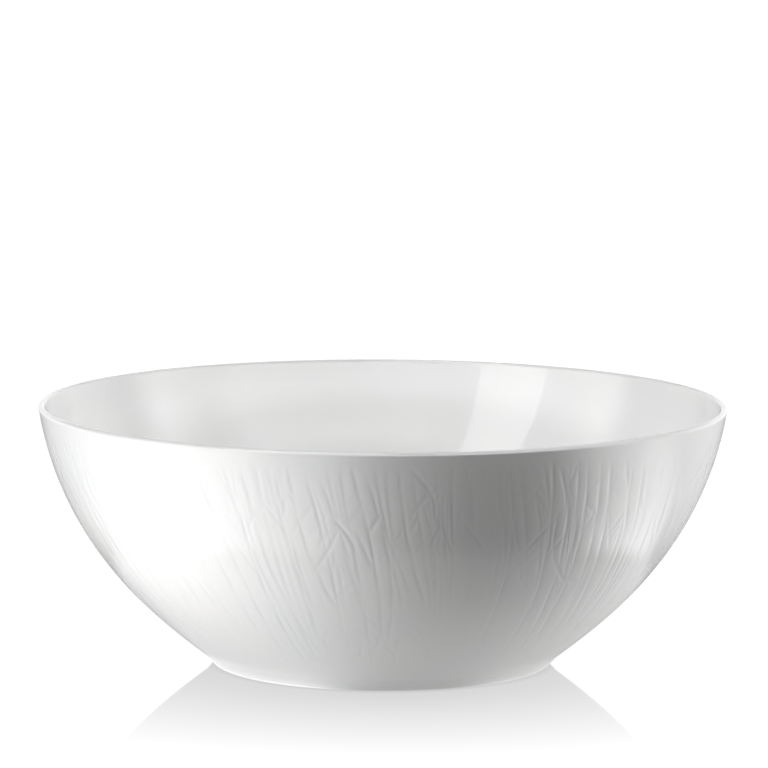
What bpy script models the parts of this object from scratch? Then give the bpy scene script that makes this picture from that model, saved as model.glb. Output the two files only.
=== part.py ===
"""Glazed porcelain serving bowl, modelled as the layers that the finished piece is made of.

A biscuit body (wall and floor in one) sits on a foot ring. Three glaze coats cover them: one outside,
one inside and one on the underside within the foot. The two wall coats meet on the crown of the lip, and
the foot's bearing face is left dry. Every piece is turned about +Z. The origin is the centre of the plane
that the foot stands on. Profiles are lists of points (radius, height) in metres.
"""

import math

import bmesh
import bpy
from mathutils import Vector

MM = 0.001

# Driving dimensions
RIM_RADIUS = 130.0 * MM
HEIGHT = 99.0 * MM
LIP_THICKNESS = 2.5 * MM
WALL_THICKNESS_AT_WELL = 4.0 * MM
FLOOR_HEIGHT = 7.4 * MM

# Outside curve: one cubic from the lip to the top of the foot, given by its end slopes and handle lengths
LIP_LEAN = math.radians(9.7)
LIP_HANDLE = 53.6 * MM
FOOT_TOP = Vector((67.4, 4.6)) * MM
FOOT_TOP_SLOPE = math.radians(38.0)
FOOT_TOP_HANDLE = 22.3 * MM

# Foot ring: a full round roll outside, a tighter one inside, and a flat bearing face between them
BEARING_OUTER_RADIUS = 61.4 * MM
BEARING_INNER_RADIUS = 58.9 * MM
OUTER_ROLL_RADIUS = 4.0 * MM
INNER_ROLL_RADIUS = 1.5 * MM
FOOT_SIDE_SLOPE = math.radians(48.0)
FOOT_INNER_SLOPE = math.radians(60.0)
RECESS_HEIGHT = 3.0 * MM
DRY_EDGE_HEIGHT = 0.15 * MM

# Inside: the wall thickens down to this share of the outside curve, where an arc turns it into the floor
WELL_BLEND_SHARE = 0.84

# Glaze, and the gap kept between pieces that touch
GLAZE_THICKNESS = 0.3 * MM
GAP = 0.3 * MM

# Facets, and the share of the outside curve that a slope is taken over
TURN_STEPS = 56
WALL_STEPS = 9
LIP_STEPS = 3
BLEND_STEPS = 4
OUTER_ROLL_STEPS = 3
INNER_ROLL_STEPS = 2
BARE_ROLL_STEPS = 2
TANGENT_STEP = 0.01
SHARP_ANGLE = math.radians(35)

# Worked out from the above
LIP_RADIUS = LIP_THICKNESS / 2
LIP_CENTRE = Vector((RIM_RADIUS - LIP_RADIUS, HEIGHT - LIP_RADIUS))
OUTER_ROLL_CENTRE = Vector((BEARING_OUTER_RADIUS, OUTER_ROLL_RADIUS))
INNER_ROLL_CENTRE = Vector((BEARING_INNER_RADIUS, INNER_ROLL_RADIUS))
OUTER_DRY_ANGLE = math.acos(1 - DRY_EDGE_HEIGHT / OUTER_ROLL_RADIUS)
INNER_DRY_ANGLE = math.acos(1 - DRY_EDGE_HEIGHT / INNER_ROLL_RADIUS)
SET_BACK = GLAZE_THICKNESS + GAP
FOOT_RING_HEIGHT = RECESS_HEIGHT + SET_BACK
UP = math.radians(90)
DOWN = math.radians(-90)


def polar(angle, radius):
    return Vector((math.cos(angle), math.sin(angle))) * radius


def arc(centre, radius, start, end, steps):
    """Points along a circular arc, both ends included."""
    return [centre + polar(start + (end - start) * i / steps, radius) for i in range(steps + 1)]


def outside_curve(share):
    """Point and outward normal on the outside curve, from the lip (share 0) to the foot's top (1)."""
    first = LIP_CENTRE + polar(-LIP_LEAN, LIP_RADIUS)
    second = first - Vector((math.sin(LIP_LEAN), math.cos(LIP_LEAN))) * LIP_HANDLE
    third = FOOT_TOP + polar(FOOT_TOP_SLOPE, FOOT_TOP_HANDLE)
    rest = 1 - share
    point = (
        first * rest**3
        + second * 3 * rest**2 * share
        + third * 3 * rest * share**2
        + FOOT_TOP * share**3
    )
    tangent = (
        (second - first) * rest**2
        + (third - second) * 2 * rest * share
        + (FOOT_TOP - third) * share**2
    ).normalized()
    return point, Vector((-tangent.y, tangent.x))


def inside_curve(share):
    """Point on the inside of the wall, set back from the outside curve by a wall that thickens downwards."""
    point, normal = outside_curve(share)
    grown = (WALL_THICKNESS_AT_WELL - LIP_THICKNESS) * share / WELL_BLEND_SHARE
    return point - normal * (LIP_THICKNESS + grown)


def well_blend():
    """The arc that turns the inside of the wall into the flat floor, tangent to both."""
    start = inside_curve(WELL_BLEND_SHARE)
    along = start - inside_curve(WELL_BLEND_SHARE - TANGENT_STEP)
    slope = math.atan2(-along.y, -along.x)
    radius = (start.y - FLOOR_HEIGHT) / (1 - math.cos(slope))
    centre = Vector((start.x - radius * math.sin(slope), FLOOR_HEIGHT + radius))
    return arc(centre, radius, DOWN + slope, DOWN, BLEND_STEPS)


def outside_face():
    """The glazed outside, from the crown of the lip to the edge of the bare bearing face."""
    lip = arc(LIP_CENTRE, LIP_RADIUS, UP, 0, LIP_STEPS)
    wall = [outside_curve(i / WALL_STEPS)[0] for i in range(WALL_STEPS + 1)]
    start, end = DOWN + FOOT_SIDE_SLOPE, DOWN + OUTER_DRY_ANGLE
    roll = arc(OUTER_ROLL_CENTRE, OUTER_ROLL_RADIUS, start, end, OUTER_ROLL_STEPS)
    return lip + wall + roll


def inside_face():
    """The glazed inside, from the crown of the lip to the centre of the floor."""
    lip = arc(LIP_CENTRE, LIP_RADIUS, UP, math.pi - LIP_LEAN, LIP_STEPS)
    last = WALL_STEPS - 1
    wall = [inside_curve(WELL_BLEND_SHARE * i / last) for i in range(1, last)]
    return lip + wall + well_blend() + [Vector((0, FLOOR_HEIGHT))]


def underside_face():
    """The glazed recess, from the centre of the underside to the edge of the bare bearing face."""
    start, end = DOWN - FOOT_INNER_SLOPE, DOWN - INNER_DRY_ANGLE
    roll = arc(INNER_ROLL_CENTRE, INNER_ROLL_RADIUS, start, end, INNER_ROLL_STEPS)
    run = (RECESS_HEIGHT - roll[0].y) / math.tan(FOOT_INNER_SLOPE)
    return [Vector((0, RECESS_HEIGHT)), Vector((roll[0].x - run, RECESS_HEIGHT)), *roll]


def offset(points, distance):
    """The polyline moved sideways, to its left if distance is positive, keeping an even width."""
    sides = []
    for start, end in zip(points, points[1:]):
        along = (end - start).normalized()
        sides.append(Vector((-along.y, along.x)))
    moved = []
    for i, point in enumerate(points):
        before, after = sides[max(i - 1, 0)], sides[min(i, len(sides) - 1)]
        middle = (before + after).normalized()
        at = point + middle * (distance / middle.dot(after))
        moved.append(Vector((0, at.y)) if point.x == 0 else at)
    return moved


def coat(face, inwards):
    """Profile of a glaze coat: the exposed face, and the same line one glaze thickness inside it."""
    return face + offset(face, inwards * GLAZE_THICKNESS)[::-1]


def short_of_crown(face, side):
    """The face with its first point moved off the lip's crown, which leaves the gap to the other wall coat."""
    return [face[0] + Vector((side * GAP / 2, 0)), *face[1:]]


def down_to(height, points):
    """The part of a falling line above a height, with a last point on that height."""
    kept = [p for p in points if p.y > height]
    last, beyond = kept[-1], points[len(kept)]
    return kept + [last.lerp(beyond, (last.y - height) / (last.y - beyond.y))]


def body_profile(outside, inside):
    """The biscuit body: both faces lie under the glaze, and its flat bottom is over the foot ring."""
    bottom = FOOT_RING_HEIGHT + GAP
    crown = LIP_CENTRE + polar(UP, LIP_RADIUS - SET_BACK)
    inner = offset(inside, SET_BACK)[1:]
    outer = down_to(bottom, offset(outside, -SET_BACK))[1:]
    return [*inner[::-1], crown, *outer, Vector((0, bottom))]


def bare_roll(centre, dry_angle):
    """The foot's rounded edge, from under the end of the glaze to the flat bearing face."""
    radius = centre.y
    edge = DOWN + dry_angle - math.copysign(GAP / radius, dry_angle)
    return [centre + polar(edge, radius - SET_BACK), *arc(centre, radius, edge, DOWN, BARE_ROLL_STEPS)]


def foot_profile(outside, underside):
    """The foot ring: its sides lie under the glaze, and its flat bearing face is bare."""
    outer_side = offset(outside, -SET_BACK)
    top = down_to(FOOT_RING_HEIGHT, outer_side)[-1]
    outer_roll = [p for p in outer_side[:-1] if p.y < top.y]
    inner_side = offset(underside, SET_BACK)[1:-1]
    outer_edge = bare_roll(OUTER_ROLL_CENTRE, OUTER_DRY_ANGLE)
    inner_edge = bare_roll(INNER_ROLL_CENTRE, -INNER_DRY_ANGLE)
    return [top, *outer_roll, *outer_edge, *inner_edge[::-1], *inner_side[::-1]]


def material(name, colour, roughness, coat_weight=0.0):
    made = bpy.data.materials.new(name)
    made.use_nodes = True
    shader = made.node_tree.nodes["Principled BSDF"]
    shader.inputs["Base Color"].default_value = (*colour, 1)
    shader.inputs["Roughness"].default_value = roughness
    shader.inputs["Metallic"].default_value = 0.0
    shader.inputs["Coat Weight"].default_value = coat_weight
    return made


def turned(name, profile, finish):
    """A solid of revolution about +Z. A profile that reaches the axis starts and ends on it."""
    mesh = bmesh.new()
    corners = [mesh.verts.new((p.x, 0, p.y)) for p in profile]
    sides = [pair for pair in zip(corners, corners[1:] + corners[:1]) if pair[0].co.x + pair[1].co.x > 0]
    edges = [mesh.edges.new(pair) for pair in sides]
    bmesh.ops.spin(
        mesh,
        geom=corners + edges,
        cent=(0, 0, 0),
        axis=(0, 0, 1),
        angle=math.tau,
        steps=TURN_STEPS,
        use_merge=True,
    )
    bmesh.ops.remove_doubles(mesh, verts=mesh.verts, dist=0.001 * MM)
    bmesh.ops.recalc_face_normals(mesh, faces=mesh.faces)
    data = bpy.data.meshes.new(name)
    mesh.to_mesh(data)
    mesh.free()
    data.shade_smooth()
    data.set_sharp_from_angle(angle=SHARP_ANGLE)
    data.materials.append(finish)
    bpy.context.scene.collection.objects.link(bpy.data.objects.new(name, data))


def build():
    glaze = material("white_glaze", (0.90, 0.90, 0.89), 0.08, coat_weight=0.5)
    biscuit = material("porcelain_biscuit", (0.86, 0.85, 0.82), 0.6)
    outside, inside, underside = outside_face(), inside_face(), underside_face()

    turned("porcelain_body", body_profile(outside, inside), biscuit)
    turned("foot_ring", foot_profile(outside, underside), biscuit)
    turned("outer_glaze", coat(short_of_crown(outside, 1), -1), glaze)
    turned("inner_glaze", coat(short_of_crown(inside, -1), 1), glaze)
    turned("underside_glaze", coat(underside, 1), glaze)


for old in list(bpy.data.objects):
    bpy.data.objects.remove(old)
build()
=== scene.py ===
import math
from collections import namedtuple

import bmesh
import bpy
import numpy as np
from mathutils import Matrix, Vector


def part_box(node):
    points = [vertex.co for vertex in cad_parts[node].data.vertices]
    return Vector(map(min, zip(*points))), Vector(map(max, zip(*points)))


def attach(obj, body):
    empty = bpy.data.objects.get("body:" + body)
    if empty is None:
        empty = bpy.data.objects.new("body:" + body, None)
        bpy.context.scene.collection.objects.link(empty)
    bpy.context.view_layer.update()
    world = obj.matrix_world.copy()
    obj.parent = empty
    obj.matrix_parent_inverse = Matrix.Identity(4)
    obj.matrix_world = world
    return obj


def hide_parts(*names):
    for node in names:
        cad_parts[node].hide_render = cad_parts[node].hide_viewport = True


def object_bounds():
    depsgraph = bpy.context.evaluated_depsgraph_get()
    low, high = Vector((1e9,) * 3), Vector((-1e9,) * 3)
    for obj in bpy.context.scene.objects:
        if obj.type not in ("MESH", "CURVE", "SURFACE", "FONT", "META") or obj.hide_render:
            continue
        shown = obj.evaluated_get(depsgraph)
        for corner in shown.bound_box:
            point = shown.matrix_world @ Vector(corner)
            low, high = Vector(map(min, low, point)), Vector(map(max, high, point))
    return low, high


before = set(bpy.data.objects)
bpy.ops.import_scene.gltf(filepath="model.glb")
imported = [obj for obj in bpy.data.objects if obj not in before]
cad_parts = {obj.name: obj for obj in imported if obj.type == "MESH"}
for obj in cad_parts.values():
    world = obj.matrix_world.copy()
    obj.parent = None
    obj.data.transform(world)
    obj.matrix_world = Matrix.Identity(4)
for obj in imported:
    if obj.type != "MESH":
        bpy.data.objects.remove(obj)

# A white porcelain serving bowl on a glossy white table, in soft studio light. Lengths are in metres.
# The bowl's axis is +Z and the camera looks along +Y.

MM = 0.001
CAD_LOW, CAD_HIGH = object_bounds()

# The bowl's main sizes, from the frame
RIM_RADIUS = CAD_HIGH.x
HEIGHT = CAD_HIGH.z
FOOT_RING_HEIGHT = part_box("foot_ring")[1].z

# The rest of the section, as the solids have it
LIP_THICKNESS = 2.5 * MM
WALL_THICKNESS_AT_WELL = 4.0 * MM
FLOOR_HEIGHT = 7.4 * MM
LIP_LEAN = math.radians(9.7)
LIP_HANDLE = 53.6 * MM
FOOT_TOP = np.array((67.4, 4.6)) * MM
FOOT_TOP_SLOPE = math.radians(38.0)
FOOT_TOP_HANDLE = 22.3 * MM
BEARING_OUTER_RADIUS = 61.4 * MM
BEARING_INNER_RADIUS = 58.9 * MM
OUTER_ROLL_RADIUS = 4.0 * MM
INNER_ROLL_RADIUS = 1.5 * MM
FOOT_SIDE_SLOPE = math.radians(48.0)
FOOT_INNER_SLOPE = math.radians(60.0)
RECESS_HEIGHT = 3.0 * MM
DRY_EDGE_HEIGHT = 0.15 * MM
WELL_BLEND_SHARE = 0.84
GLAZE_THICKNESS = 0.3 * MM
HAIRLINE = 0.02 * MM  # kept between hidden faces

LIP_RADIUS = LIP_THICKNESS / 2
LIP_CENTRE = np.array((RIM_RADIUS - LIP_RADIUS, HEIGHT - LIP_RADIUS))
OUTER_ROLL_CENTRE = np.array((BEARING_OUTER_RADIUS, OUTER_ROLL_RADIUS))
INNER_ROLL_CENTRE = np.array((BEARING_INNER_RADIUS, INNER_ROLL_RADIUS))
OUTER_DRY_ANGLE = math.acos(1 - DRY_EDGE_HEIGHT / OUTER_ROLL_RADIUS)
INNER_DRY_ANGLE = math.acos(1 - DRY_EDGE_HEIGHT / INNER_ROLL_RADIUS)
UP, DOWN = math.radians(90), math.radians(-90)

# Mesh fineness
COLUMNS = 360
RELIEF_COLUMNS = 1800
RELIEF_ROWS = 160
PLAIN_ROWS = 40
HIDDEN_ROWS = 14
LIP_STEPS = 12
ROLL_STEPS = 8
BLEND_STEPS = 16
FLOOR_STEPS = 10
CURVE_SAMPLES = 2000
SHARP_ANGLE = math.radians(50)

# Line relief pressed into the outside
RELIEF_SEED = 11
CREASE_DEPTH = 0.2 * MM
CREASE_SOFTNESS = 0.2 * MM
RELIEF_START = (2 * MM, 6 * MM)  # distance down from the lip, over which the relief comes in
RELIEF_END = (94 * MM, 114 * MM)  # and over which it dies out
LONG_LINES, SLANTED_LINES, STEEP_LINES, SHORT_LINES = 185, 130, 75, 520
LONG_JITTER, CROSSING_JITTER = 0.35, 0.5  # how far a line strays from its even place, in spacings
TWIN_CHANCE = 0.35  # of a fainter line beside a long one
FADED_IN, FADING_OUT = 0.12, 0.7  # shares of a line's length
PRESS_MEAN, PRESS_SWING = 0.68, 0.32  # how hard a line is pressed, and how much that varies along it
PRESS_LENGTH = 1.4  # how long that variation is, in lengths of the line's sway


# ---------------------------------------------------------------- section

def polar(angle, radius):
    return np.stack((np.cos(angle), np.sin(angle)), -1) * radius


def arc(centre, radius, start, end, steps):
    return centre + polar(np.linspace(start, end, steps + 1), radius)


def outside_curve(share):
    """Points and outward normals on the outside curve, from the lip (share 0) to the foot's top (1)."""
    first = LIP_CENTRE + polar(-LIP_LEAN, LIP_RADIUS)
    second = first - np.array((math.sin(LIP_LEAN), math.cos(LIP_LEAN))) * LIP_HANDLE
    third = FOOT_TOP + polar(FOOT_TOP_SLOPE, FOOT_TOP_HANDLE)
    t = np.asarray(share, float)[..., None]
    point = (
        first * (1 - t) ** 3
        + second * 3 * (1 - t) ** 2 * t
        + third * 3 * (1 - t) * t**2
        + FOOT_TOP * t**3
    )
    along = (
        (second - first) * (1 - t) ** 2
        + (third - second) * 2 * (1 - t) * t
        + (FOOT_TOP - third) * t**2
    )
    along /= np.linalg.norm(along, axis=-1, keepdims=True)
    return point, np.stack((-along[..., 1], along[..., 0]), -1)


def inside_curve(share):
    """Points on the inside of the wall, which thickens towards the well."""
    point, normal = outside_curve(share)
    grown = (WALL_THICKNESS_AT_WELL - LIP_THICKNESS) * np.asarray(share) / WELL_BLEND_SHARE
    return point - normal * (LIP_THICKNESS + grown)[..., None]


def distances(points):
    """Distance gone along a polyline at each of its points."""
    return np.concatenate(([0], np.cumsum(np.linalg.norm(np.diff(points, axis=0), axis=1))))


def evenly_spaced(points, count):
    """The polyline resampled to count points an even distance apart."""
    gone = distances(points)
    at = np.linspace(0, gone[-1], count)
    return np.stack([np.interp(at, gone, points[:, i]) for i in (0, 1)], -1)


def outside_wall(rows):
    return evenly_spaced(outside_curve(np.linspace(0, 1, CURVE_SAMPLES))[0], rows)


def outside_face(rows):
    """The glazed outside, from the crown of the lip to the edge of the bare bearing face."""
    lip = arc(LIP_CENTRE, LIP_RADIUS, UP, -LIP_LEAN, LIP_STEPS)
    start, end = DOWN + FOOT_SIDE_SLOPE, DOWN + OUTER_DRY_ANGLE
    roll = arc(OUTER_ROLL_CENTRE, OUTER_ROLL_RADIUS, start, end, ROLL_STEPS)
    return np.concatenate((lip, outside_wall(rows)[1:], roll))


def inside_face():
    """The glazed inside, from the crown of the lip to the centre of the floor."""
    lip = arc(LIP_CENTRE, LIP_RADIUS, UP, math.pi - LIP_LEAN, LIP_STEPS)
    wall = inside_curve(np.linspace(0, WELL_BLEND_SHARE, PLAIN_ROWS))
    along = wall[-2] - wall[-1]
    slope = math.atan2(along[1], along[0])
    radius = (wall[-1][1] - FLOOR_HEIGHT) / (1 - math.cos(slope))
    centre = np.array((wall[-1][0] - radius * math.sin(slope), FLOOR_HEIGHT + radius))
    blend = arc(centre, radius, DOWN + slope, DOWN, BLEND_STEPS)
    floor = np.linspace(blend[-1], (0, FLOOR_HEIGHT), FLOOR_STEPS)
    return np.concatenate((lip, wall[1:], blend[1:], floor[1:]))


def underside_face():
    """The glazed recess, from the centre of the underside to the edge of the bare bearing face."""
    start, end = DOWN - FOOT_INNER_SLOPE, DOWN - INNER_DRY_ANGLE
    roll = arc(INNER_ROLL_CENTRE, INNER_ROLL_RADIUS, start, end, ROLL_STEPS)
    run = (RECESS_HEIGHT - roll[0][1]) / math.tan(FOOT_INNER_SLOPE)
    edge = np.array((roll[0][0] - run, RECESS_HEIGHT))
    return np.concatenate((np.linspace((0, RECESS_HEIGHT), edge, FLOOR_STEPS), roll))


def offset(points, distance):
    """The polyline moved to its left by a distance, at its mitred corners."""
    along = np.diff(points, axis=0)
    along /= np.linalg.norm(along, axis=1, keepdims=True)
    left = np.stack((-along[:, 1], along[:, 0]), -1)
    before = np.concatenate((left[:1], left))
    after = np.concatenate((left, left[-1:]))
    middle = before + after
    middle /= np.linalg.norm(middle, axis=1, keepdims=True)
    moved = points + middle * (distance / (middle * after).sum(1))[:, None]
    moved[points[:, 0] == 0, 0] = 0
    return moved


def above(height, points):
    """The part of a falling polyline above a height, with a last point on that height."""
    kept = points[points[:, 1] > height]
    last, beyond = kept[-1], points[len(kept)]
    share = (last[1] - height) / (last[1] - beyond[1])
    return np.concatenate((kept, [last + (beyond - last) * share]))


def below(height, points):
    """The part of a polyline under a height."""
    return points[points[:, 1] < height]


# ---------------------------------------------------------------- relief

Crease = namedtuple("Crease", "top bottom turn drift bend sway width skew strength")


def smooth_step(start, end, x):
    t = np.clip((x - start) / (end - start), 0, 1)
    return t * t * (3 - 2 * t)


def sway(rng):
    """A line's side to side sway: its size, its length and where it starts."""
    return rng.uniform(0.05, 0.2) * MM, rng.uniform(14, 34) * MM, rng.uniform(0, math.tau)


def placed(rng, i, count, jitter):
    """The turn of one of count lines, which are set round the bowl at nearly even distances."""
    return (i + rng.uniform(-jitter, jitter)) * math.tau / count


def crossing_line(rng, turn, top, height, lean, width, strength):
    """A nearly straight line. Top, height and width are in mm, and the lean from the vertical in degrees."""
    return Crease(
        top=top * MM,
        bottom=(top + height) * MM,
        turn=turn,
        drift=height * MM * math.tan(math.radians(lean)) / RIM_RADIUS,
        bend=math.radians(rng.normal(0, 1.2)),
        sway=sway(rng),
        width=width * MM,
        skew=1.0,
        strength=strength,
    )


def long_lines(rng):
    """Lines down the wall, a little slanted and uneven, about a third with a fainter line beside them."""
    for i in range(LONG_LINES):
        line = Crease(
            top=rng.uniform(0, 5) * MM,
            bottom=rng.uniform(62, 118) * MM,
            turn=placed(rng, i, LONG_LINES, LONG_JITTER),
            drift=math.radians(rng.normal(6.5, 2.0)),
            bend=math.radians(rng.normal(0, 1.3)),
            sway=sway(rng),
            width=rng.uniform(0.45, 1.0) * MM,
            skew=rng.uniform(1.0, 1.7),
            strength=rng.uniform(0.4, 0.95),
        )
        yield line
        if rng.random() < TWIN_CHANCE:
            yield line._replace(
                top=line.top + rng.uniform(0, 8) * MM,
                bottom=line.bottom - rng.uniform(0, 25) * MM,
                turn=line.turn + math.radians(rng.uniform(0.7, 1.4)),
                drift=line.drift + math.radians(rng.normal(0, 0.8)),
                width=line.width * 0.7,
                strength=line.strength * 0.6,
            )


def slanted_lines(rng):
    """Lines that cross the long ones at a wide angle, in the upper half."""
    for i in range(SLANTED_LINES):
        yield crossing_line(
            rng,
            turn=placed(rng, i, SLANTED_LINES, CROSSING_JITTER),
            top=rng.uniform(0, 38),
            height=rng.uniform(10, 24),
            lean=-rng.uniform(26, 52),
            width=rng.uniform(0.35, 0.7),
            strength=rng.uniform(0.4, 0.9),
        )


def steep_lines(rng):
    """Lines that cross them the other way, fewer and steeper."""
    for i in range(STEEP_LINES):
        yield crossing_line(
            rng,
            turn=placed(rng, i, STEEP_LINES, CROSSING_JITTER),
            top=rng.uniform(0, 34),
            height=rng.uniform(18, 44),
            lean=rng.uniform(14, 34),
            width=rng.uniform(0.45, 0.85),
            strength=rng.uniform(0.4, 0.9),
        )


def short_lines(rng):
    """Faint short strokes over the whole wall."""
    for i in range(SHORT_LINES):
        yield crossing_line(
            rng,
            turn=placed(rng, i, SHORT_LINES, CROSSING_JITTER),
            top=rng.uniform(3, 92),
            height=rng.uniform(5, 15),
            lean=rng.normal(0, 30),
            width=rng.uniform(0.35, 0.7),
            strength=rng.uniform(0.25, 0.55),
        )


def pressed(crease, down, radius, turn):
    """How deep one crease is, from 0 to 1, for each row (distance down, radius) and column (turn)."""
    share = np.clip((down - crease.top) / (crease.bottom - crease.top), 0, 1)
    size, length, phase = crease.sway
    centre = crease.turn + crease.drift * share + crease.bend * np.sin(math.pi * share)
    centre = centre + size * np.sin(down * math.tau / length + phase) / radius
    lean = np.gradient(centre, down) * radius
    off = (turn[None, :] - centre[:, None] + math.pi) % math.tau - math.pi
    across = off * (radius / np.sqrt(1 + lean**2))[:, None]
    reach = np.where(across > 0, crease.width * crease.skew, crease.width / crease.skew)
    groove = np.exp((CREASE_SOFTNESS - np.hypot(across, CREASE_SOFTNESS)) / reach)
    ends = smooth_step(0, FADED_IN, share) * smooth_step(1, FADING_OUT, share)
    force = PRESS_MEAN + PRESS_SWING * np.sin(down * math.tau / (PRESS_LENGTH * length) + 2 * phase)
    return groove * (crease.strength * ends * force)[:, None]


def relief(down, radius, columns):
    """Depth of the line relief, from 0 to 1, for each row and column."""
    rng = np.random.default_rng(RELIEF_SEED)
    turn = np.arange(columns) * (math.tau / columns)
    depth = np.zeros((len(down), columns))
    for lines in (long_lines, slanted_lines, steep_lines, short_lines):
        for crease in lines(rng):
            depth = np.maximum(depth, pressed(crease, down, radius, turn))
    return depth * (smooth_step(*RELIEF_START, down) * (1 - smooth_step(*RELIEF_END, down)))[:, None]


# ---------------------------------------------------------------- meshes

def outward(profile):
    """The direction to the left of a profile at each of its points."""
    along = np.roll(profile, -1, 0) - np.roll(profile, 1, 0)
    along /= np.linalg.norm(along, axis=1, keepdims=True)
    return np.stack((-along[:, 1], along[:, 0]), -1)


def turned_grid(profile, columns, raised):
    """The points of a turned profile, each moved along its normal by raised."""
    turn = np.arange(columns) * (math.tau / columns)
    grid = profile[:, None, :] + outward(profile)[:, None, :] * raised[:, :, None]
    radius, height = grid[..., 0], grid[..., 1]
    return np.stack((radius * np.cos(turn), radius * np.sin(turn), height), -1)


def quads(rings, columns, closed):
    row = np.arange(rings if closed else rings - 1)[:, None]
    column = np.arange(columns)[None, :]
    after, below_row = (column + 1) % columns, (row + 1) % rings
    corners = (row * columns + column, row * columns + after)
    corners += (below_row * columns + after, below_row * columns + column)
    return np.stack(corners, -1).reshape(-1, 4).tolist()


def fan(centre, first, columns):
    """Triangles from a centre point to a ring of points."""
    step = np.arange(columns)
    return np.stack((np.full(columns, centre), first + (step + 1) % columns, first + step), -1).tolist()


def revolve(name, profile, columns, raised=None):
    """A closed solid of revolution. The profile is a loop, or it runs from the axis to the axis."""
    if raised is None:
        raised = np.zeros((len(profile), columns))
    points = turned_grid(profile, columns, raised)
    if profile[0, 0] > 0:
        vertices, faces = points.reshape(-1, 3), quads(len(profile), columns, closed=True)
    else:
        rings = len(profile) - 2
        ends = np.array([points[0, 0], points[-1, 0]])
        vertices = np.concatenate((points[1:-1].reshape(-1, 3), ends))
        faces = quads(rings, columns, closed=False)
        faces += fan(rings * columns, 0, columns)
        faces += [face[::-1] for face in fan(rings * columns + 1, (rings - 1) * columns, columns)]
    mesh = bpy.data.meshes.new(name)
    mesh.from_pydata(vertices.tolist(), [], faces)
    face_outwards(mesh)
    mesh.shade_smooth()
    mesh.set_sharp_from_angle(angle=SHARP_ANGLE)
    made = bpy.data.objects.new(name, mesh)
    bpy.context.scene.collection.objects.link(made)
    return made


def face_outwards(mesh):
    """Turn a closed mesh right side out."""
    work = bmesh.new()
    work.from_mesh(mesh)
    if work.calc_volume(signed=True) < 0:
        bmesh.ops.reverse_faces(work, faces=work.faces)
        work.to_mesh(mesh)
    work.free()


# ---------------------------------------------------------------- pieces

def make_outer_glaze():
    """The outside coat. Its exposed face carries the relief, and its hidden face is plain."""
    face, back = outside_face(RELIEF_ROWS), offset(outside_face(HIDDEN_ROWS), -GLAZE_THICKNESS)
    profile = np.concatenate((face, back[::-1]))
    wall = slice(LIP_STEPS, LIP_STEPS + RELIEF_ROWS)
    depth = np.zeros((len(profile), RELIEF_COLUMNS))
    depth[wall] = relief(distances(face[wall]), face[wall, 0], RELIEF_COLUMNS)
    made = revolve("outer_glaze_coat", profile, RELIEF_COLUMNS, raised=-CREASE_DEPTH * depth)
    # The relief's depth, kept for the glaze colour: glaze pooled in the creases, and painted shade there
    pooling_and_shade = made.data.attributes.new("pooling_and_shade", "FLOAT", "POINT")
    pooling_and_shade.data.foreach_set("value", depth.ravel())
    return made


def make_inner_glaze():
    """The inside coat: its hidden face from the axis out to the lip, then its exposed face back."""
    face = inside_face()
    profile = np.concatenate((offset(face, GLAZE_THICKNESS)[::-1], face))
    return revolve("inner_glaze_coat", profile, COLUMNS)


def make_underside_glaze():
    """The recess's coat: its exposed face from the axis out to the foot, then its hidden face back."""
    face = underside_face()
    profile = np.concatenate((face, offset(face, GLAZE_THICKNESS)[::-1]))
    return revolve("underside_glaze_coat", profile, COLUMNS)


def make_body():
    """The wall and floor under the glaze."""
    inner = offset(inside_face(), GLAZE_THICKNESS + HAIRLINE)
    outer = offset(outside_face(PLAIN_ROWS), -GLAZE_THICKNESS - HAIRLINE)
    bottom = FOOT_RING_HEIGHT + HAIRLINE
    profile = np.concatenate((inner[::-1], above(bottom, outer[1:]), [(0, bottom)]))
    return revolve("biscuit_body", profile, COLUMNS)


def make_foot_ring():
    """The foot under its glaze, with its bare rounded edge and flat bearing face."""
    outer_side = offset(outside_face(PLAIN_ROWS), -GLAZE_THICKNESS - HAIRLINE)
    inner_side = offset(underside_face(), GLAZE_THICKNESS + HAIRLINE)[FLOOR_STEPS - 1 :]
    rounded_out = arc(OUTER_ROLL_CENTRE, OUTER_ROLL_RADIUS, DOWN + OUTER_DRY_ANGLE, DOWN, ROLL_STEPS)
    rounded_in = arc(INNER_ROLL_CENTRE, INNER_ROLL_RADIUS, DOWN, DOWN - INNER_DRY_ANGLE, ROLL_STEPS)
    parts = (below(FOOT_RING_HEIGHT, outer_side), rounded_out, rounded_in, inner_side[::-1])
    return revolve("bare_foot_ring", np.concatenate(parts), COLUMNS)


# ---------------------------------------------------------------- materials

def feed(tree, socket, value):
    """Link another node's output to a socket, or set the socket to a plain value."""
    if isinstance(value, bpy.types.NodeSocket):
        tree.links.new(value, socket)
    else:
        socket.default_value = value


def add(tree, kind, settings=None, **sockets):
    """A new node. Its sockets are fed by name, where _ stands for a space."""
    made = tree.nodes.new("ShaderNode" + kind)
    for name, value in (settings or {}).items():
        setattr(made, name, value)
    for name, value in sockets.items():
        feed(tree, made.inputs[name.replace("_", " ")], value)
    return made


def math_node(tree, operation, first, second=0.0, clamp=False):
    made = add(tree, "Math", {"operation": operation, "use_clamp": clamp})
    for socket, value in zip(made.inputs, (first, second)):
        feed(tree, socket, value)
    return made.outputs[0]


NOISE_LOW, NOISE_HIGH = 0.35, 0.65  # where most of a noise's values lie


def noise(tree, place, scale, detail=2.0, roughness=0.5):
    made = add(tree, "TexNoise", Vector=place, Scale=scale, Detail=detail, Roughness=roughness)
    return made.outputs["Fac"]


def between(tree, value, low, high, start=NOISE_LOW, end=NOISE_HIGH):
    """The value spread from low to high, where start to end is its own range, a noise's unless given."""
    made = add(tree, "MapRange", Value=value, From_Min=start, From_Max=end, To_Min=low, To_Max=high)
    return made.outputs["Result"]


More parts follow.
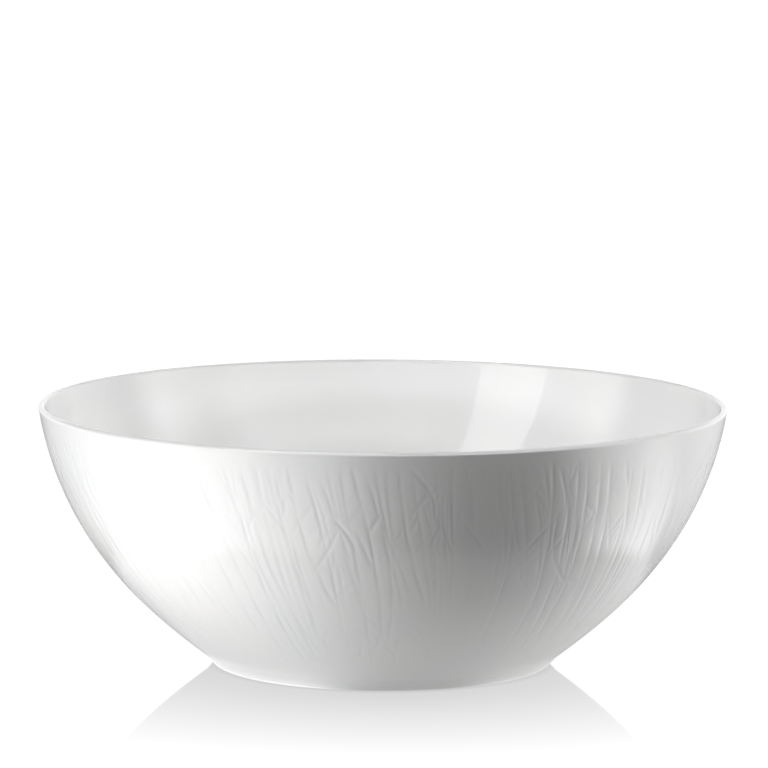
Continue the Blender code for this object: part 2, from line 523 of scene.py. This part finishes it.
def mix(tree, kind, share, first, second):
    """The first value where share is 0 and the second where it is 1, both FLOAT or both RGBA."""
    made = add(tree, "Mix", {"data_type": kind})
    for name, value in (("Factor", share), ("A", first), ("B", second)):
        feed(tree, next(s for s in made.inputs if s.name == name and s.enabled), value)
    return next(s for s in made.outputs if s.enabled)


def mix_shader(tree, share, first, second):
    made = add(tree, "MixShader")
    for socket, value in zip(made.inputs, (share, first.outputs[0], second.outputs[0])):
        feed(tree, socket, value)
    return made


def bumped(tree, height, distance, **base):
    """A bump's normal, on top of another bump's if that is given as Normal."""
    made = add(tree, "Bump", Height=height, Distance=distance, Strength=1.0, **base)
    return made.outputs["Normal"]


def new_material(name, ior):
    made = bpy.data.materials.new(name)
    made.use_nodes = True
    tree = made.node_tree
    shader = tree.nodes["Principled BSDF"]
    shader.inputs["IOR"].default_value = ior
    place = add(tree, "TexCoord").outputs["Object"]
    return made, tree, shader, place


COOL_WHITE = (0.845, 0.852, 0.850, 1)
WARM_WHITE = (0.872, 0.868, 0.856, 1)
# Darker and cooler in the creases: partly glaze pooled there, partly painted shade
POOLED_GLAZE_AND_SHADE = (0.795, 0.812, 0.812, 1)
POOLED_AND_SHADE_SHARE = 0.5  # of that colour, pooled glaze and painted shade together, in the deepest crease
GLAZE_ROUGHNESS = (0.014, 0.03)
GLAZE_IOR = 1.52
PEEL_DEPTH, FINE_DEPTH = 0.006 * MM, 0.0008 * MM


def glaze_material():
    """Clear gloss over white: faint clouds of tint, a darker, cooler colour in the creases that is partly
    glaze pooled there and partly painted shade, soft orange peel.
    """
    made, tree, shader, place = new_material("white_porcelain_glaze", GLAZE_IOR)
    clouds = between(tree, noise(tree, place, scale=22, detail=3), 0, 1)
    # Relief depth: pooled glaze and painted shade in the creases
    pooling_and_shade = add(tree, "Attribute", {"attribute_name": "pooling_and_shade"}).outputs["Fac"]
    tint = mix(tree, "RGBA", clouds, COOL_WHITE, WARM_WHITE)
    tint = mix(tree, "RGBA", math_node(tree, "MULTIPLY", pooling_and_shade, POOLED_AND_SHADE_SHARE), tint, POOLED_GLAZE_AND_SHADE)
    roughness = between(tree, noise(tree, place, scale=60), *GLAZE_ROUGHNESS)
    peel = bumped(tree, noise(tree, place, scale=130, detail=1), PEEL_DEPTH)
    fine = bumped(tree, noise(tree, place, scale=900), FINE_DEPTH, Normal=peel)
    tree.links.new(tint, shader.inputs["Base Color"])
    tree.links.new(roughness, shader.inputs["Roughness"])
    tree.links.new(fine, shader.inputs["Normal"])
    return made


BISCUIT_LIGHT = (0.80, 0.785, 0.75, 1)
BISCUIT_DARK = (0.70, 0.68, 0.64, 1)
TABLE_RUB = (0.56, 0.55, 0.53, 1)
RUB_HEIGHT = 0.25 * MM
RUB_SHARE = 0.7  # of the rubbed colour, where there is most of it
BISCUIT_ROUGHNESS = (0.5, 0.75)
BISCUIT_IOR = 1.5
GRAIN_DEPTH = 0.03 * MM


def biscuit_material():
    """Bare fired porcelain: a fine matt grain, rubbed slightly grey where it stands on the table."""
    made, tree, shader, place = new_material("bare_porcelain_biscuit", BISCUIT_IOR)
    clouds = between(tree, noise(tree, place, scale=90, detail=4), 0, 1)
    tint = mix(tree, "RGBA", clouds, BISCUIT_DARK, BISCUIT_LIGHT)
    height = add(tree, "SeparateXYZ", Vector=place).outputs["Z"]
    low = between(tree, height, 1, 0, start=0, end=RUB_HEIGHT)
    patches = between(tree, noise(tree, place, scale=240, detail=3), 0, RUB_SHARE)
    tint = mix(tree, "RGBA", math_node(tree, "MULTIPLY", low, patches, clamp=True), tint, TABLE_RUB)
    roughness = between(tree, noise(tree, place, scale=500), *BISCUIT_ROUGHNESS)
    grain = bumped(tree, noise(tree, place, scale=2600, detail=3, roughness=0.7), GRAIN_DEPTH)
    tree.links.new(tint, shader.inputs["Base Color"])
    tree.links.new(roughness, shader.inputs["Roughness"])
    tree.links.new(grain, shader.inputs["Normal"])
    return made


def finish_piece(made, finish, slot, *nodes):
    """Give a piece its material and its place in the frame."""
    made.data.materials.append(finish)
    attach(made, "root")
    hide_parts(*nodes)


def make_bowl():
    glaze, biscuit = glaze_material(), biscuit_material()
    finish_piece(make_outer_glaze(), glaze, "glaze", "outer_glaze")
    finish_piece(make_inner_glaze(), glaze, "glaze", "inner_glaze")
    finish_piece(make_underside_glaze(), glaze, "glaze", "underside_glaze")
    finish_piece(make_body(), biscuit, "biscuit", "porcelain_body")
    finish_piece(make_foot_ring(), biscuit, "biscuit", "foot_ring")


# ---------------------------------------------------------------- light

Screen = namedtuple("Screen", "turn rise edge strength")
ALL_ROUND, ANY_RISE = (-200, 200), (-200, 200)

# White screens round and over the bowl. Turn 0 is towards the camera and 90 is on the picture's right.
# Ranges and soft edges are in degrees, and where screens overlap their strengths add up.
FROM_BELOW = Screen(turn=ALL_ROUND, rise=(-100, -28), edge=6, strength=0.8)  # hidden by the table
STUDIO_SCREENS = (
    FROM_BELOW,
    Screen(turn=(-89, -54), rise=(-9, 48), edge=9, strength=2.6),
    Screen(turn=(88, 120), rise=(-9, 58), edge=9, strength=4.4),
    Screen(turn=ALL_ROUND, rise=(55, 100), edge=9, strength=1.0),
    Screen(turn=(-60, -35), rise=(30, 78), edge=0.6, strength=2.3),
)

# What the glaze mirrors: a strip in front, dimmer to the sides, two low strips, a dim screen behind on the
# left, a high one in front on the left that lights the lip, and a window
GLOSS_SCREENS = (
    FROM_BELOW,
    Screen(turn=(-95, -60), rise=(12, 46), edge=10, strength=2.0),
    Screen(turn=(-60, -18), rise=(12, 46), edge=10, strength=3.5),
    Screen(turn=(-18, 60), rise=(12, 46), edge=10, strength=4.5),
    Screen(turn=(60, 95), rise=(12, 46), edge=10, strength=2.2),
    Screen(turn=(-95, 95), rise=(2, 24), edge=8, strength=2.2),
    Screen(turn=ALL_ROUND, rise=(-9, 20), edge=9, strength=1.1),
    Screen(turn=(-160, -95), rise=(10, 60), edge=9, strength=0.4),
    Screen(turn=(-100, 5), rise=(60, 88), edge=5, strength=6.0),
    Screen(turn=(-60, -35), rise=(8, 78), edge=0.5, strength=1.9),
)

# The same light as the table passes it on: far from the bowl, nearer the foot, and just round the foot
TABLE_SCREENS = (
    Screen(turn=(-92, -9), rise=ANY_RISE, edge=10, strength=1.6),
    Screen(turn=(-72, -36), rise=ANY_RISE, edge=0.6, strength=0.65),
    Screen(turn=(58, 97), rise=ANY_RISE, edge=12, strength=2.25),
    Screen(turn=(125, 200), rise=ANY_RISE, edge=20, strength=0.35),
    Screen(turn=(-200, -125), rise=ANY_RISE, edge=20, strength=0.35),
)
NEAR_SCREENS = (
    Screen(turn=ALL_ROUND, rise=ANY_RISE, edge=1, strength=0.5),
    Screen(turn=(-94, -10), rise=ANY_RISE, edge=16, strength=0.27),
    Screen(turn=(34, 130), rise=ANY_RISE, edge=16, strength=0.07),
)
FOOT_SCREENS = (
    Screen(turn=ALL_ROUND, rise=ANY_RISE, edge=1, strength=0.5),
    Screen(turn=(-135, -18), rise=ANY_RISE, edge=14, strength=0.8),
    Screen(turn=(34, 130), rise=ANY_RISE, edge=14, strength=0.4),
)
WHITE = 1.05  # what the camera sees round the bowl, a little past full white
TABLE_GREY = 0.15  # how much the table's mirror dims what it shows


def within(tree, angle, ends, edge):
    """1 for angles between two ends in degrees and 0 outside them, with a soft edge on both."""
    shares = []
    for end, inwards in zip(ends, (edge, -edge)):
        limits = {
            "From_Min": math.radians(end - inwards),
            "From_Max": math.radians(end + inwards),
        }
        shares.append(add(tree, "MapRange", {"interpolation_type": "SMOOTHSTEP"}, Value=angle, **limits))
    return math_node(tree, "MULTIPLY", *(made.outputs["Result"] for made in shares))


def light_from(tree, direction, screens):
    """Brightness in a direction: the sum of the screens there."""
    parts = add(tree, "SeparateXYZ", Vector=direction).outputs
    turn = math_node(tree, "ARCTAN2", parts["X"], math_node(tree, "MULTIPLY", parts["Y"], -1.0))
    rise = math_node(tree, "ARCSINE", parts["Z"])
    total = 0.0
    for screen in screens:
        shares = within(tree, turn, screen.turn, screen.edge), within(tree, rise, screen.rise, screen.edge)
        glow = math_node(tree, "MULTIPLY", math_node(tree, "MULTIPLY", *shares), screen.strength)
        total = math_node(tree, "ADD", glow, total)
    return total


def make_world():
    """White to the camera and in the table's mirror, and the studio's lights otherwise."""
    world = bpy.data.worlds.new("studio")
    world.use_nodes = True
    bpy.context.scene.world = world
    tree = world.node_tree
    tree.nodes.clear()
    direction = add(tree, "TexCoord").outputs["Generated"]
    path = add(tree, "LightPath").outputs
    light = light_from(tree, direction, STUDIO_SCREENS)
    mirrored = light_from(tree, direction, GLOSS_SCREENS)
    light = mix(tree, "FLOAT", path["Is Glossy Ray"], light, mirrored)
    light = mix(tree, "FLOAT", path["Is Singular Ray"], light, WHITE / TABLE_GREY)
    light = mix(tree, "FLOAT", path["Is Camera Ray"], light, WHITE)
    sky = add(tree, "Background", Strength=light, Color=(1, 1, 1, 1))
    add(tree, "OutputWorld", Surface=sky.outputs[0])


# ---------------------------------------------------------------- table

TABLE_RADIUS = 0.62
TABLE_SEGMENTS = 96
TABLE_DROP = 0.02 * MM
GLOSS = 0.39  # share of the mirror at the foot
GLOSS_START, GLOSS_END = 0.061, 0.207  # radii between which it fades out
GRAZING_START, GRAZING_END = 0.53, 0.75  # and how edge-on the table is seen where it comes in
CONTACT_SHADE = 0.84  # what is left of the white at the foot's edge
CONTACT_START, CONTACT_END = 0.0614, 0.067  # radii between which that shadow fades out
FOOT_START, FOOT_END = 0.062, 0.069  # radii where the foot's screens give way to the near ones
FAR_START, FAR_END = 0.14, 0.156  # and the near ones to the table's


def table_look(tree, radius):
    """What the camera sees: white paper that mirrors the bowl faintly, close to it and at low angles."""
    nearby = between(tree, radius, GLOSS, 0, start=GLOSS_START, end=GLOSS_END)
    facing = add(tree, "LayerWeight", Blend=0.5).outputs["Facing"]
    grazing = between(tree, facing, 0, 1, start=GRAZING_START, end=GRAZING_END)
    gloss = add(tree, "BsdfGlossy", Roughness=0.0, Color=(TABLE_GREY, TABLE_GREY, TABLE_GREY, 1))
    shade = between(tree, radius, CONTACT_SHADE, 1, start=CONTACT_START, end=CONTACT_END)
    paper = add(tree, "Emission", Strength=math_node(tree, "MULTIPLY", shade, WHITE))
    return mix_shader(tree, math_node(tree, "MULTIPLY", nearby, grazing), paper, gloss)


def table_glow(tree, radius, outwards):
    """What the bowl sees: the light that the table passes on, by place."""
    foot, near, far = (
        light_from(tree, outwards, screens) for screens in (FOOT_SCREENS, NEAR_SCREENS, TABLE_SCREENS)
    )
    light = mix(tree, "FLOAT", between(tree, radius, 0, 1, start=FOOT_START, end=FOOT_END), foot, near)
    light = mix(tree, "FLOAT", between(tree, radius, 0, 1, start=FAR_START, end=FAR_END), light, far)
    return add(tree, "Emission", Strength=light)


def table_material():
    """A white table that looks one way to the camera and lights the bowl in another."""
    made = bpy.data.materials.new("glossy_white_table")
    made.use_nodes = True
    tree = made.node_tree
    tree.nodes.clear()
    place = add(tree, "TexCoord").outputs["Object"]
    radius = add(tree, "VectorMath", {"operation": "LENGTH"}, Vector=place).outputs["Value"]
    outwards = add(tree, "VectorMath", {"operation": "NORMALIZE"}, Vector=place).outputs["Vector"]
    camera = add(tree, "LightPath").outputs["Is Camera Ray"]
    shown = mix_shader(tree, camera, table_glow(tree, radius, outwards), table_look(tree, radius))
    add(tree, "OutputMaterial", Surface=shown.outputs[0])
    return made


def make_table():
    work = bmesh.new()
    bmesh.ops.create_circle(work, cap_ends=True, segments=TABLE_SEGMENTS, radius=TABLE_RADIUS)
    mesh = bpy.data.meshes.new("table_top")
    work.to_mesh(mesh)
    work.free()
    mesh.materials.append(table_material())
    made = bpy.data.objects.new("table_top", mesh)
    made.location.z = -TABLE_DROP
    bpy.context.scene.collection.objects.link(made)


# ---------------------------------------------------------------- camera

CAMERA_PLACE = Vector((0.0, -2.5678, 0.4523))
CAMERA_AIM = Vector((0.0004, 0.0, 0.1065))
CAMERA_ROLL = math.radians(0.279)
CAMERA_LENS_MM = 321.6
SENSOR_WIDTH_MM = 36.0


def make_camera():
    data = bpy.data.cameras.new("camera")
    data.lens = CAMERA_LENS_MM
    data.sensor_width = SENSOR_WIDTH_MM
    made = bpy.data.objects.new("camera", data)
    look = (CAMERA_AIM - CAMERA_PLACE).to_track_quat("-Z", "Y").to_matrix().to_4x4()
    made.matrix_world = Matrix.Translation(CAMERA_PLACE) @ look @ Matrix.Rotation(CAMERA_ROLL, 4, "Z")
    bpy.context.scene.collection.objects.link(made)
    bpy.context.scene.camera = made


make_bowl()
make_table()
make_camera()
make_world()
bpy.context.scene.view_settings.view_transform = "Standard"
